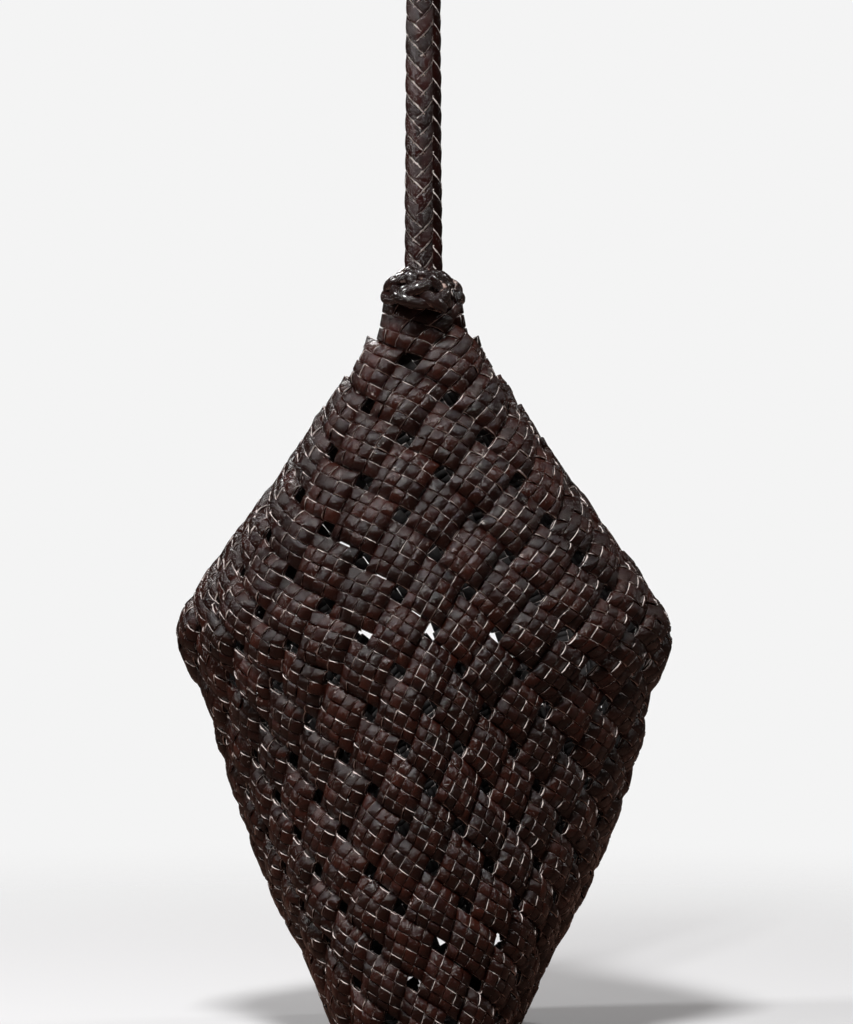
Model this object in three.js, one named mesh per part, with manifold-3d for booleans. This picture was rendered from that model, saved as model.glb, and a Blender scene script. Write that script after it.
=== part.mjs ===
// A woven leather bag that hangs by one braided strap.
// The body is a soft sack, open at the top, with a front and a back peak; the strap joins the two peaks.
// Millimetres, +Z up. X runs across the bag, Y from the front peak to the back peak.
// The origin is under the strap's top bend, where the bag hangs.

import * as THREE from 'three';
import { mergeVertices } from 'three/addons/utils/BufferGeometryUtils.js';
import Module from 'manifold-3d';

// Driving sizes of the body
const BODY_HEIGHT = 328;
const NOTCH_HEIGHT = 190;
const BELLY_WIDTH = 220;
const BELLY_DEPTH = 201;
const BASE_WIDTH = 66;
const BASE_DEPTH = 180;
const PEAK_WIDTH = 34;
const PEAK_SPREAD = 120;
const PEAK_PLAN_WIDTH = 50;
const WALL = 2.8;

// The weave: woven blocks stand in slanting bands, with one open gap where four blocks meet
const BANDS_AROUND = 18;
const CELLS_PER_BLOCK = 4;
const GAP_SHARE = 0.9;
const WEAVE_TURN = 0.5;
const FIRST_GAP_ROW = 0.9;
const LAST_GAP_ROW = 15;
const GAP_REACH = 4;
const GAP_RIM_MARGIN = 1;

// Driving sizes of the strap and of the knots that hold it
const HANG_HEIGHT = 625;
const STRAP_DIAMETER = 12.6;
const STRAP_BEND_RADIUS = 40;
const STRAP_SEAT_DEPTH = 6;
const KNOT_WIDTH = 38;
const KNOT_DEPTH = 29;
const KNOT_HEIGHT = 32;
const KNOT_LAP = 8;
const KNOT_STRANDS = 3;
const KNOT_RELIEF = 0.07;
const KNOT_ROUNDNESS = 0.8;
const CLEARANCE = 0.3;

// Facets of the meshes
const PANEL_SEGMENTS = 20;
const PANEL_LEVELS = 8;
const STRAP_SIDES = 10;
const STRAP_STEPS = 50;
const KNOT_SEGMENTS = 20;
const KNOT_RINGS = 11;
const ARC_SAMPLES = 120;

// Where two sizes meet, share 0 is the first named size and share 1 the second.
// From a peak's top edge down to the notch, as shares of that drop; width and depth go from peak to belly.
const PANEL_SECTIONS = [
  { drop: 0, width: 0, depth: 0, squareness: 2.4 },
  { drop: 0.138, width: 0.141, depth: 0.16, squareness: 2.4 },
  { drop: 0.319, width: 0.294, depth: 0.346, squareness: 2.3 },
  { drop: 0.507, width: 0.47, depth: 0.53, squareness: 2.2 },
  { drop: 0.688, width: 0.682, depth: 0.704, squareness: 2 },
  { drop: 0.877, width: 0.888, depth: 0.877, squareness: 1.75 },
  { drop: 0.949, width: 0.965, depth: 0.943, squareness: 1.65 },
  { drop: 1, width: 1, depth: 1, squareness: 1.6 },
];
// From the notch down to the flat base, as shares of that drop; width and depth go from belly to base.
const SACK_SECTIONS = [
  { drop: 0, width: 0, depth: 0, squareness: 1.6 },
  { drop: 0.032, width: -0.018, depth: -0.067, squareness: 1.58 },
  { drop: 0.121, width: 0.039, depth: -0.21, squareness: 1.52 },
  { drop: 0.174, width: 0.091, depth: -0.24, squareness: 1.5 },
  { drop: 0.316, width: 0.195, depth: -0.24, squareness: 1.5 },
  { drop: 0.421, width: 0.279, depth: -0.21, squareness: 1.6 },
  { drop: 0.516, width: 0.36, depth: -0.17, squareness: 1.75 },
  { drop: 0.647, width: 0.5, depth: -0.095, squareness: 2.1 },
  { drop: 0.784, width: 0.695, depth: 0.05, squareness: 2.6 },
  { drop: 0.853, width: 0.773, depth: 0.14, squareness: 2.85 },
  { drop: 0.911, width: 0.838, depth: 0.29, squareness: 3 },
  { drop: 0.963, width: 0.896, depth: 0.52, squareness: 3.1 },
  { drop: 0.989, width: 0.942, depth: 0.76, squareness: 3.15 },
  { drop: 1, width: 1, depth: 1, squareness: 3.2 },
];

const NOTCH_ROWS = BANDS_AROUND / 2;

const wasm = await Module();
wasm.setup();

// Shape of the body

// One row of a table, read between its neighbours at a given drop
function readSections(table, drop) {
  const last = table.length - 1;
  const found = table.findIndex((row) => row.drop >= drop);
  const upper = Math.min(Math.max(found < 0 ? last : found, 1), last);
  const a = table[upper - 1];
  const b = table[upper];
  const share = THREE.MathUtils.clamp((drop - a.drop) / (b.drop - a.drop), 0, 1);
  const mix = (column) => THREE.MathUtils.lerp(a[column], b[column], share);
  return { width: mix('width'), depth: mix('depth'), squareness: mix('squareness') };
}

// Half width, half depth and squareness of the body's plan at a height above the base
function planAt(height) {
  const inPanel = height > NOTCH_HEIGHT;
  const drop = inPanel
    ? (BODY_HEIGHT - height) / (BODY_HEIGHT - NOTCH_HEIGHT)
    : (NOTCH_HEIGHT - height) / NOTCH_HEIGHT;
  const row = readSections(inPanel ? PANEL_SECTIONS : SACK_SECTIONS, drop);
  const widths = inPanel ? [PEAK_PLAN_WIDTH / 2, BELLY_WIDTH / 2] : [BELLY_WIDTH / 2, BASE_WIDTH / 2];
  const depths = inPanel ? [PEAK_SPREAD / 2, BELLY_DEPTH / 2] : [BELLY_DEPTH / 2, BASE_DEPTH / 2];
  return {
    halfWidth: THREE.MathUtils.lerp(widths[0], widths[1], row.width),
    halfDepth: THREE.MathUtils.lerp(depths[0], depths[1], row.depth),
    squareness: row.squareness,
  };
}

// A quarter of the plan, from the middle of the front to the side, with the length walked so far
function quarterArc(plan) {
  const power = 2 / plan.squareness;
  const arc = [];
  let walked = 0;
  for (let k = 0; k <= ARC_SAMPLES; k += 1) {
    const angle = (k / ARC_SAMPLES) * Math.PI / 2;
    const x = plan.halfWidth * Math.sin(angle) ** power;
    const y = plan.halfDepth * Math.max(Math.cos(angle), 0) ** power;
    const before = arc[k - 1];
    if (before) walked += Math.hypot(x - before.x, y - before.y);
    arc.push({ x, y, walked });
  }
  return arc;
}

// The point of a quarter arc at a walked length, and the outward direction there
function alongArc(arc, length) {
  const end = arc[arc.length - 1].walked;
  const target = THREE.MathUtils.clamp(length, 0, end);
  const next = Math.max(arc.findIndex((point) => point.walked >= target), 1);
  const a = arc[next - 1];
  const b = arc[next];
  const share = (target - a.walked) / (b.walked - a.walked);
  const run = Math.hypot(b.x - a.x, b.y - a.y);
  return {
    x: THREE.MathUtils.lerp(a.x, b.x, share),
    y: THREE.MathUtils.lerp(a.y, b.y, share),
    outX: (a.y - b.y) / run,
    outY: (b.x - a.x) / run,
  };
}

// One weave step around the bag at a height: the cloth keeps its own step above the notch
const arcLength = (height) => quarterArc(planAt(height)).at(-1).walked;
const PANEL_STEP = arcLength(NOTCH_HEIGHT) / NOTCH_ROWS;
const stepAt = (height) => (height > NOTCH_HEIGHT ? PANEL_STEP : arcLength(height) / NOTCH_ROWS);

// Rows of the weave are counted down from the point where the two rims of a peak would meet
const TOP_ROWS = PEAK_WIDTH / 2 / PANEL_STEP;
const ROW_RISE = (BODY_HEIGHT - NOTCH_HEIGHT) / (NOTCH_ROWS - TOP_ROWS);
const heightOfRow = (row) => BODY_HEIGHT - ROW_RISE * (row - TOP_ROWS);

// A point of the body: steps around from the middle of the front, height, and distance out of the surface.
// An inner point of the sack is lifted with the floor, whose thickness is the wall's.
function bodyPoint(steps, height, outwards = 0) {
  const turned = THREE.MathUtils.euclideanModulo(steps + BANDS_AROUND, 2 * BANDS_AROUND) - BANDS_AROUND;
  const fromBack = Math.abs(turned) > NOTCH_ROWS;
  const walkedSteps = fromBack ? BANDS_AROUND - Math.abs(turned) : Math.abs(turned);
  const place = alongArc(quarterArc(planAt(height)), walkedSteps * stepAt(height));
  const side = turned < 0 ? -1 : 1;
  const facing = fromBack ? 1 : -1;
  const lift = Math.max(-outwards, 0) * Math.max(1 - height / NOTCH_HEIGHT, 0);
  return new THREE.Vector3(
    side * (place.x + outwards * place.outX),
    facing * (place.y + outwards * place.outY),
    height + lift,
  );
}

// Mesh building

// Collects triangles and quads whose corners run anticlockwise seen from outside
class Faces {
  constructor() {
    this.positions = [];
  }

  triangle(a, b, c) {
    for (const point of [a, b, c]) this.positions.push(point.x, point.y, point.z);
  }

  quad(a, b, c, d) {
    this.triangle(a, b, c);
    this.triangle(a, c, d);
  }

  // Faces of a grid of points, rows by columns, turned over when inward is true
  grid(rows, inward = false) {
    for (let r = 0; r + 1 < rows.length; r += 1) {
      for (let c = 0; c + 1 < rows[r].length; c += 1) {
        const corners = [rows[r][c], rows[r + 1][c], rows[r + 1][c + 1], rows[r][c + 1]];
        if (inward) corners.reverse();
        this.quad(...corners);
      }
    }
  }

  // A fan from the middle of a closed ring
  fan(ring, inward = false) {
    const middle = new THREE.Vector3();
    for (const point of ring.slice(1)) middle.add(point);
    middle.divideScalar(ring.length - 1);
    for (let c = 0; c + 1 < ring.length; c += 1) {
      if (inward) this.triangle(middle, ring[c + 1], ring[c]);
      else this.triangle(middle, ring[c], ring[c + 1]);
    }
  }

  geometry() {
    const loose = new THREE.BufferGeometry();
    loose.setAttribute('position', new THREE.Float32BufferAttribute(this.positions, 3));
    return mergeVertices(loose, 1e-4);
  }
}

function toSolid(geometry) {
  const bare = geometry.clone();
  bare.deleteAttribute('normal');
  bare.deleteAttribute('uv');
  const merged = mergeVertices(bare, 1e-4);
  return new wasm.Manifold(new wasm.Mesh({
    numProp: 3,
    vertProperties: new Float32Array(merged.attributes.position.array),
    triVerts: new Uint32Array(merged.index.array),
  }));
}

function toGeometry(solid) {
  const mesh = solid.getMesh();
  const geometry = new THREE.BufferGeometry();
  geometry.setAttribute('position', new THREE.Float32BufferAttribute(mesh.vertProperties, 3));
  geometry.setIndex(new THREE.BufferAttribute(mesh.triVerts, 1));
  return geometry;
}

// The woven body

// Points of one peak's panel, wall face out or in; its edges widen by one step for each row
function panelGrid(middleStep, outwards) {
  const rows = [];
  for (let level = 0; level <= PANEL_LEVELS; level += 1) {
    const row = THREE.MathUtils.lerp(TOP_ROWS, NOTCH_ROWS, level / PANEL_LEVELS);
    const height = level === PANEL_LEVELS ? NOTCH_HEIGHT : heightOfRow(row);
    const points = [];
    for (let c = 0; c <= PANEL_SEGMENTS; c += 1) {
      const steps = middleStep + row * (2 * c / PANEL_SEGMENTS - 1);
      points.push(bodyPoint(steps, height, outwards));
    }
    rows.push(points);
  }
  return rows;
}

// Points of the sack below the notch, all the way round
function sackGrid(outwards) {
  return SACK_SECTIONS.map((section) => {
    const height = NOTCH_HEIGHT * (1 - section.drop);
    const points = [];
    for (let c = 0; c <= 2 * PANEL_SEGMENTS; c += 1) {
      const steps = NOTCH_ROWS * (2 * c / PANEL_SEGMENTS - 1);
      points.push(bodyPoint(steps, height, outwards));
    }
    points[points.length - 1] = points[0];
    return points;
  });
}

// The wall between the outer and the inner edge of a panel: left rim, top edge and right rim
function panelRim(faces, outer, inner) {
  const edge = (grid) => {
    const left = grid.map((row) => row[0]).reverse();
    const right = grid.map((row) => row[row.length - 1]);
    return [...left, ...grid[0].slice(1, -1), ...right];
  };
  faces.grid([edge(inner), edge(outer)]);
}

function bodyShell() {
  const faces = new Faces();
  for (const middleStep of [0, BANDS_AROUND]) {
    const outer = panelGrid(middleStep, 0);
    const inner = panelGrid(middleStep, -WALL);
    faces.grid(outer);
    faces.grid(inner, true);
    panelRim(faces, outer, inner);
  }
  const outerSack = sackGrid(0);
  const innerSack = sackGrid(-WALL);
  faces.grid(outerSack);
  faces.grid(innerSack, true);
  faces.fan(outerSack.at(-1), true);
  faces.fan(innerSack.at(-1));
  return toSolid(faces.geometry());
}

// A slanting square peg through the wall where four blocks meet, one weave cell wide
function gapPeg(faces, steps, row) {
  const reach = 3 * WALL;
  const at = (ds, dr) => bodyPoint(steps + ds, heightOfRow(row + dr));
  const middle = at(0, 0);
  const aroundStep = at(0.5, 0).sub(at(-0.5, 0));
  const downStep = at(0, 0.5).sub(at(0, -0.5));
  const outward = new THREE.Vector3().crossVectors(downStep, aroundStep).normalize();
  const cells = CELLS_PER_BLOCK ** 2 + 1;
  const bandDown = downStep.clone().add(aroundStep);
  const bandUp = downStep.clone().sub(aroundStep);
  const across = bandDown.clone().multiplyScalar(CELLS_PER_BLOCK).sub(bandUp).divideScalar(cells);
  const along = bandDown.clone().add(bandUp.clone().multiplyScalar(CELLS_PER_BLOCK)).divideScalar(cells);
  const corner = (u, v, depth) => middle.clone()
    .addScaledVector(across, u * GAP_SHARE / 2)
    .addScaledVector(along, v * GAP_SHARE / 2)
    .addScaledVector(outward, depth);
  const ring = (depth) => [corner(-1, -1, depth), corner(-1, 1, depth), corner(1, 1, depth), corner(1, -1, depth)];
  const near = ring(reach);
  const far = ring(-reach - WALL);
  faces.quad(...near);
  faces.quad(...far.slice().reverse());
  faces.grid([[...near, near[0]], [...far, far[0]]]);
}

function gapPegs() {
  const faces = new Faces();
  for (const middleStep of [0, BANDS_AROUND]) {
    for (let rowCount = 1; rowCount <= LAST_GAP_ROW; rowCount += 1) {
      const row = rowCount + FIRST_GAP_ROW;
      for (let place = -GAP_REACH; place <= GAP_REACH; place += 1) {
        const steps = place + WEAVE_TURN;
        const onBand = (place + rowCount) % 2 === 0;
        const onPanel = row >= NOTCH_ROWS || Math.abs(steps) < row - GAP_RIM_MARGIN;
        if (onBand && onPanel) gapPeg(faces, middleStep + steps, row);
      }
    }
  }
  return toSolid(faces.geometry());
}

// The strap

const STRAP_RADIUS = STRAP_DIAMETER / 2;
const KNOT_BOTTOM = BODY_HEIGHT - KNOT_LAP;
const KNOT_TOP = KNOT_BOTTOM + KNOT_HEIGHT;
const KNOT_SPREAD = PEAK_SPREAD / 2 - WALL / 2;
// The strap leans in as it rises, so the low side of its end dips by the lean over its radius
const STRAP_SLOPE = (KNOT_SPREAD - STRAP_BEND_RADIUS) / (HANG_HEIGHT - KNOT_TOP - STRAP_BEND_RADIUS);
const STRAP_END_DIP = STRAP_RADIUS * Math.abs(STRAP_SLOPE);
const STRAP_FOOT = KNOT_TOP - STRAP_SEAT_DEPTH + STRAP_END_DIP + CLEARANCE;

// Up from the front knot, round the top bend and down to the back knot, in the plane of the two peaks
class StrapRoute extends THREE.Curve {
  constructor() {
    super();
    this.bendHeight = HANG_HEIGHT + STRAP_RADIUS - STRAP_BEND_RADIUS;
    const rise = this.bendHeight - STRAP_FOOT;
    const reach = Math.hypot(KNOT_SPREAD, rise);
    this.lean = Math.acos(STRAP_BEND_RADIUS / reach) - Math.atan2(rise, KNOT_SPREAD);
    this.straight = Math.sqrt(reach ** 2 - STRAP_BEND_RADIUS ** 2);
    this.bend = STRAP_BEND_RADIUS * (Math.PI - 2 * this.lean);
  }

  getPoint(share, target = new THREE.Vector3()) {
    const whole = 2 * this.straight + this.bend;
    const walked = share * whole;
    const fromEnd = Math.min(walked, whole - walked);
    const side = walked < whole / 2 ? -1 : 1;
    if (fromEnd < this.straight) {
      const y = KNOT_SPREAD - fromEnd * Math.sin(this.lean);
      return target.set(0, side * y, STRAP_FOOT + fromEnd * Math.cos(this.lean));
    }
    const angle = this.lean + (fromEnd - this.straight) / STRAP_BEND_RADIUS;
    const y = STRAP_BEND_RADIUS * Math.cos(angle);
    return target.set(0, side * y, this.bendHeight + STRAP_BEND_RADIUS * Math.sin(angle));
  }
}

function strapGeometry() {
  const section = new THREE.Shape();
  for (let k = 0; k < STRAP_SIDES; k += 1) {
    const angle = (k + 0.5) / STRAP_SIDES * 2 * Math.PI;
    const reach = STRAP_RADIUS / Math.cos(Math.PI / STRAP_SIDES);
    if (k === 0) section.moveTo(reach * Math.cos(angle), reach * Math.sin(angle));
    else section.lineTo(reach * Math.cos(angle), reach * Math.sin(angle));
  }
  section.closePath();
  return new THREE.ExtrudeGeometry(section, {
    steps: STRAP_STEPS,
    bevelEnabled: false,
    extrudePath: new StrapRoute(),
  });
}

// The knots

// A lump wound of slanting strands: an egg shape whose surface swells once for each strand
function knotLump(facing) {
  const faces = new Faces();
  const middle = new THREE.Vector3(0, facing * KNOT_SPREAD, (KNOT_BOTTOM + KNOT_TOP) / 2);
  const rings = [];
  for (let r = 0; r <= KNOT_RINGS; r += 1) {
    const polar = r / KNOT_RINGS * Math.PI;
    const points = [];
    for (let c = 0; c <= KNOT_SEGMENTS; c += 1) {
      const around = c % KNOT_SEGMENTS / KNOT_SEGMENTS * 2 * Math.PI;
      const wave = Math.abs(Math.sin((KNOT_STRANDS * around + 2 * polar) / 2));
      const swell = 1 - KNOT_RELIEF + KNOT_RELIEF * wave;
      const radius = swell * Math.sin(polar) ** KNOT_ROUNDNESS;
      points.push(new THREE.Vector3(
        middle.x + radius * Math.cos(around) * KNOT_WIDTH / 2,
        middle.y + radius * Math.sin(around) * KNOT_DEPTH / 2,
        middle.z + Math.cos(polar) * KNOT_HEIGHT / 2,
      ));
    }
    rings.push(points);
  }
  faces.grid(rings.slice(1, -1));
  faces.fan(rings[1]);
  faces.fan(rings[KNOT_RINGS - 1], true);
  return toSolid(faces.geometry());
}

// The space that the panel's top edge takes up in a knot, with the clearance all round
function edgeSlot(middleStep) {
  const faces = new Faces();
  const halfSpan = KNOT_WIDTH / PANEL_STEP;
  const heights = [BODY_HEIGHT + CLEARANCE, BODY_HEIGHT - 2 * KNOT_LAP];
  const face = (outwards) => heights.map((height) => {
    const points = [];
    for (let c = 0; c <= PANEL_SEGMENTS; c += 1) {
      points.push(bodyPoint(middleStep + halfSpan * (2 * c / PANEL_SEGMENTS - 1), height, outwards));
    }
    return points;
  });
  const outer = face(1.5 * CLEARANCE);
  const inner = face(-WALL - 1.5 * CLEARANCE);
  faces.grid(outer);
  faces.grid(inner, true);
  faces.grid([inner[0], outer[0]]);
  faces.grid([outer[1], inner[1]]);
  faces.grid([[inner[0][0], inner[1][0]], [outer[0][0], outer[1][0]]], true);
  faces.grid([[inner[0].at(-1), inner[1].at(-1)], [outer[0].at(-1), outer[1].at(-1)]]);
  return toSolid(faces.geometry());
}

// The round seat in the top of a knot for the strap's end
function strapSeat(facing) {
  const drift = STRAP_SEAT_DEPTH * Math.abs(STRAP_SLOPE);
  const cornerRadius = STRAP_RADIUS / Math.cos(Math.PI / STRAP_SIDES);
  const radius = (cornerRadius + drift + CLEARANCE) / Math.cos(Math.PI / KNOT_SEGMENTS);
  const seat = new THREE.CylinderGeometry(radius, radius, 2 * STRAP_SEAT_DEPTH, KNOT_SEGMENTS);
  seat.rotateX(Math.PI / 2);
  seat.translate(0, facing * KNOT_SPREAD, KNOT_TOP);
  return toSolid(seat);
}

function knotGeometry(facing, middleStep) {
  const lump = knotLump(facing);
  return toGeometry(lump.subtract(edgeSlot(middleStep)).subtract(strapSeat(facing)));
}

// Materials: dark brown leather, a little lighter where the strap is handled

const bodyLeather = new THREE.MeshStandardMaterial({ color: '#3a2622', roughness: 0.45, metalness: 0 });
const strapLeather = new THREE.MeshStandardMaterial({ color: '#432c27', roughness: 0.4, metalness: 0 });

// The bag

const bag = new THREE.Group();
bag.position.z = -HANG_HEIGHT;

function addPiece(name, geometry, material) {
  const piece = new THREE.Mesh(geometry, material);
  piece.name = name;
  bag.add(piece);
}

addPiece('woven_body', toGeometry(bodyShell().subtract(gapPegs())), bodyLeather);
addPiece('strap', strapGeometry(), strapLeather);
addPiece('knot_front', knotGeometry(-1, 0), strapLeather);
addPiece('knot_back', knotGeometry(1, BANDS_AROUND), strapLeather);

const root = new THREE.Group();
root.add(bag);

export default root;
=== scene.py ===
import math
import bpy
import numpy as np
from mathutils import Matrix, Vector


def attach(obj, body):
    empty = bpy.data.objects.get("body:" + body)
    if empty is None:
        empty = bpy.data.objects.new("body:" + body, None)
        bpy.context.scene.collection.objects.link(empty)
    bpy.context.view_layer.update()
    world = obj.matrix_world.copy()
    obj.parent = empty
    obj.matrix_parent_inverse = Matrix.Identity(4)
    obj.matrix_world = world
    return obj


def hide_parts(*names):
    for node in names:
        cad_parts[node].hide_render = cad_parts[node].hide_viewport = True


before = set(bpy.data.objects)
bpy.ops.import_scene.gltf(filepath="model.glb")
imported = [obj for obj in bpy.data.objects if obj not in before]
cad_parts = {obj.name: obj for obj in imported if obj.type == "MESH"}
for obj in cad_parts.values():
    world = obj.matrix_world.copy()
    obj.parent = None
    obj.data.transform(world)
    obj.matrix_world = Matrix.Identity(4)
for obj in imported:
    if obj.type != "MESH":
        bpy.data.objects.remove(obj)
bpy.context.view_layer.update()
chance = np.random.default_rng(11)

# All lengths are in millimetres with the bag's base at height 0, until a mesh is made.
# These are the same sizes as in the part's source.
BODY_HEIGHT, NOTCH_HEIGHT = 328.0, 190.0
BELLY_WIDTH, BELLY_DEPTH = 220.0, 201.0
BASE_WIDTH, BASE_DEPTH = 66.0, 180.0
PEAK_WIDTH, PEAK_SPREAD, PEAK_PLAN_WIDTH = 34.0, 120.0, 50.0
WALL = 2.8
ROWS = 9
HANG_HEIGHT, STRAP_DIAMETER, STRAP_BEND_RADIUS = 625.0, 12.6, 40.0
STRAP_FOOT = 346.8
KNOT_SPREAD = PEAK_SPREAD / 2 - WALL / 2


def aim_camera():
    """The camera stands 2.5 m away with a long lens, level with the peaks and 2.2 degrees to one side."""
    distance, height, aim_height, side = 2.5, 0.3186, 0.240, math.radians(2.2)
    sideways = 0.0012
    focal_pixels, picture_pixels, sensor_height = 5500, 1024, 36
    lens = bpy.data.cameras.new("photo_camera")
    lens.sensor_fit = "VERTICAL"
    lens.sensor_height = sensor_height
    lens.lens = sensor_height * focal_pixels / picture_pixels
    lens.clip_end = 50
    camera = bpy.data.objects.new("photo_camera", lens)
    across = Vector((math.cos(side), math.sin(side), 0)) * sideways
    base = Vector((0, 0, -HANG_HEIGHT / 1000))
    place = base + across + Vector((distance * math.sin(side), -distance * math.cos(side), height))
    target = base + across + Vector((0, 0, aim_height))
    camera.location = place
    camera.rotation_euler = (target - place).to_track_quat("-Z", "Y").to_euler()
    bpy.context.scene.collection.objects.link(camera)
    bpy.context.scene.camera = camera


aim_camera()


# The body's form: drop share, width and depth shares between two sizes, squareness of the plan
PANEL_SECTIONS = np.array([
    (0, 0, 0, 2.4), (0.138, 0.141, 0.16, 2.4), (0.319, 0.294, 0.346, 2.3), (0.507, 0.47, 0.53, 2.2),
    (0.688, 0.682, 0.704, 2), (0.877, 0.888, 0.877, 1.75), (0.949, 0.965, 0.943, 1.65), (1, 1, 1, 1.6)])
SACK_SECTIONS = np.array([
    (0, 0, 0, 1.6), (0.032, -0.018, -0.067, 1.58), (0.121, 0.039, -0.21, 1.52),
    (0.174, 0.091, -0.24, 1.5), (0.316, 0.195, -0.24, 1.5), (0.421, 0.279, -0.21, 1.6),
    (0.516, 0.36, -0.17, 1.75), (0.647, 0.5, -0.095, 2.1), (0.784, 0.695, 0.05, 2.6),
    (0.853, 0.773, 0.14, 2.85), (0.911, 0.838, 0.29, 3), (0.963, 0.896, 0.52, 3.1),
    (0.989, 0.942, 0.76, 3.15), (1, 1, 1, 3.2)])
# Every millimetre of height, and even shares of a quarter of the plan
HEIGHTS = np.arange(0, 351.0)
ARC_SHARES = np.linspace(0, 1, 161)


def plan_sizes():
    """Half width, half depth and squareness at each height: shares of the sizes, averaged over 9 mm."""
    panel = HEIGHTS > NOTCH_HEIGHT
    drop = np.where(panel, (BODY_HEIGHT - HEIGHTS) / (BODY_HEIGHT - NOTCH_HEIGHT),
                    1 - HEIGHTS / NOTCH_HEIGHT)

    def column(k):
        upper = np.interp(drop, PANEL_SECTIONS[:, 0], PANEL_SECTIONS[:, k])
        lower = np.interp(drop, SACK_SECTIONS[:, 0], SACK_SECTIONS[:, k])
        return upper, lower

    found = []
    for k, peak, belly, base in ((1, PEAK_PLAN_WIDTH, BELLY_WIDTH, BASE_WIDTH),
                                 (2, PEAK_SPREAD, BELLY_DEPTH, BASE_DEPTH)):
        upper, lower = column(k)
        found.append(np.where(panel, peak + (belly - peak) * upper, belly + (base - belly) * lower) / 2)
    upper, lower = column(3)
    found.append(np.where(panel, upper, lower))
    span = 9
    padded = [np.pad(v, span // 2, mode="reflect", reflect_type="odd") for v in found]
    return [np.convolve(v, np.ones(span) / span, "valid") for v in padded]


def quarter_arcs():
    """Each height's quarter of the plan, x = W sin^(2/n), y = D cos^(2/n), walked evenly by its length."""
    widths, depths, squareness = plan_sizes()
    turn = np.linspace(0, np.pi / 2, 181)
    x = widths[:, None] * np.sin(turn) ** (2 / squareness[:, None])
    y = depths[:, None] * np.maximum(np.cos(turn), 0) ** (2 / squareness[:, None])
    walked = np.cumsum(np.hypot(np.diff(x), np.diff(y)), 1)
    walked = np.hstack([np.zeros((len(HEIGHTS), 1)), walked])
    rows = [(np.interp(ARC_SHARES * w[-1], w, a), np.interp(ARC_SHARES * w[-1], w, b))
            for w, a, b in zip(walked, x, y)]
    return np.array([r[0] for r in rows]), np.array([r[1] for r in rows]), walked[:, -1]


ARC_X, ARC_Y, ARC_LENGTH = quarter_arcs()
PANEL_STEP = ARC_LENGTH[int(NOTCH_HEIGHT)] / ROWS
TOP_ROWS = PEAK_WIDTH / 2 / PANEL_STEP
ROW_RISE = (BODY_HEIGHT - NOTCH_HEIGHT) / (ROWS - TOP_ROWS)
# The weave's grid has 36 steps round the bag, 18 from ridge to ridge and 9 from a ridge to a side.
# Rows count down from the peak to the fold at the foot, and the base is 6 by 12 steps.
STEPS_ROUND, HALF_ROUND, SIDE_STEPS = 36, 18, 9
FOLD_ROW = 19
BASE_HALF = (3, 6)
# How many steps the foot takes to turn under, and the power of its roundness
BASE_ROUND, BASE_POWER = 1.25, 1.17
# How much fuller the panels are at their sides, and how far the sack hangs to one side
PANEL_FULLER, SACK_OVER = 3.6, 2.5
# How round the rims start under the peak, and over how many rows the knot draws them in
RIM_ROUND, NECK_ROWS = 1.5, 0.65

# How far the weave has slipped from an even grid, in steps along and in rows down.
# The lines are the even, cosine, sine, double sine and double cosine parts round the bag,
# and the columns the powers 0, 1 and 2 of the depth below row 10, over 9 rows.
# Not chosen by hand: a least squares fit to the places of the gaps in the photo gave these numbers.
SLIP_MIDDLE, SLIP_SPAN = 10, 9
SLIP_STEPS = np.array([(-0.555, -0.528, 0.617), (-0.121, 0.387, -0.37), (-0.306, -0.458, 1.059),
                       (0.004, 0.252, -0.205), (0.195, -0.11, -0.224)])
SLIP_ROWS = np.array([(0.175, 0.002, -0.186), (-0.063, -0.222, 0.289), (-0.228, 0.018, 0.207),
                      (-0.002, 0.074, -0.073), (-0.139, 0.207, -0.022)])


def table_at(table, share, height):
    """The value of a height by share table between its four nearest entries."""
    u = np.clip(share, 0, 1) * (len(ARC_SHARES) - 1)
    h = np.clip(height, 0, HEIGHTS[-1] - 0.001)
    iu = np.minimum(u.astype(int), len(ARC_SHARES) - 2)
    ih = h.astype(int)
    du, dh = u - iu, h - ih
    low = (1 - du) * table[ih, iu] + du * table[ih, iu + 1]
    high = (1 - du) * table[ih + 1, iu] + du * table[ih + 1, iu + 1]
    return (1 - dh) * low + dh * high


def side_point(steps, height):
    """A point of the outer skin: steps counted round the plan from the front ridge, at a height."""
    steps = (steps + HALF_ROUND) % STEPS_ROUND - HALF_ROUND
    length = np.interp(height, HEIGHTS, ARC_LENGTH)
    step = np.where(height > NOTCH_HEIGHT, PANEL_STEP, length / SIDE_STEPS)
    walked = np.abs(steps) * step / length
    behind = walked > 1
    share = np.where(behind, 2 - walked, walked)
    x = np.sign(steps) * table_at(ARC_X, share, height)
    y = np.where(behind, 1, -1) * table_at(ARC_Y, share, height)
    # The panels are fuller from under the belly up, less so by the peak. Below it the sack hangs over.
    u = x / np.interp(height, HEIGHTS, ARC_X[:, -1])
    above_belly = np.clip((height - 160) / 35, 0, 1)
    below_peak = np.clip((346 - height) / 22, 0.3, 1)
    x = x + PANEL_FULLER * (1.5 * u - 0.5 * u ** 3) * above_belly * below_peak
    x = x + SACK_OVER * np.clip((180 - height) / 40, 0, 1)
    return np.stack([x, y, height + 0 * x], -1)


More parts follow.
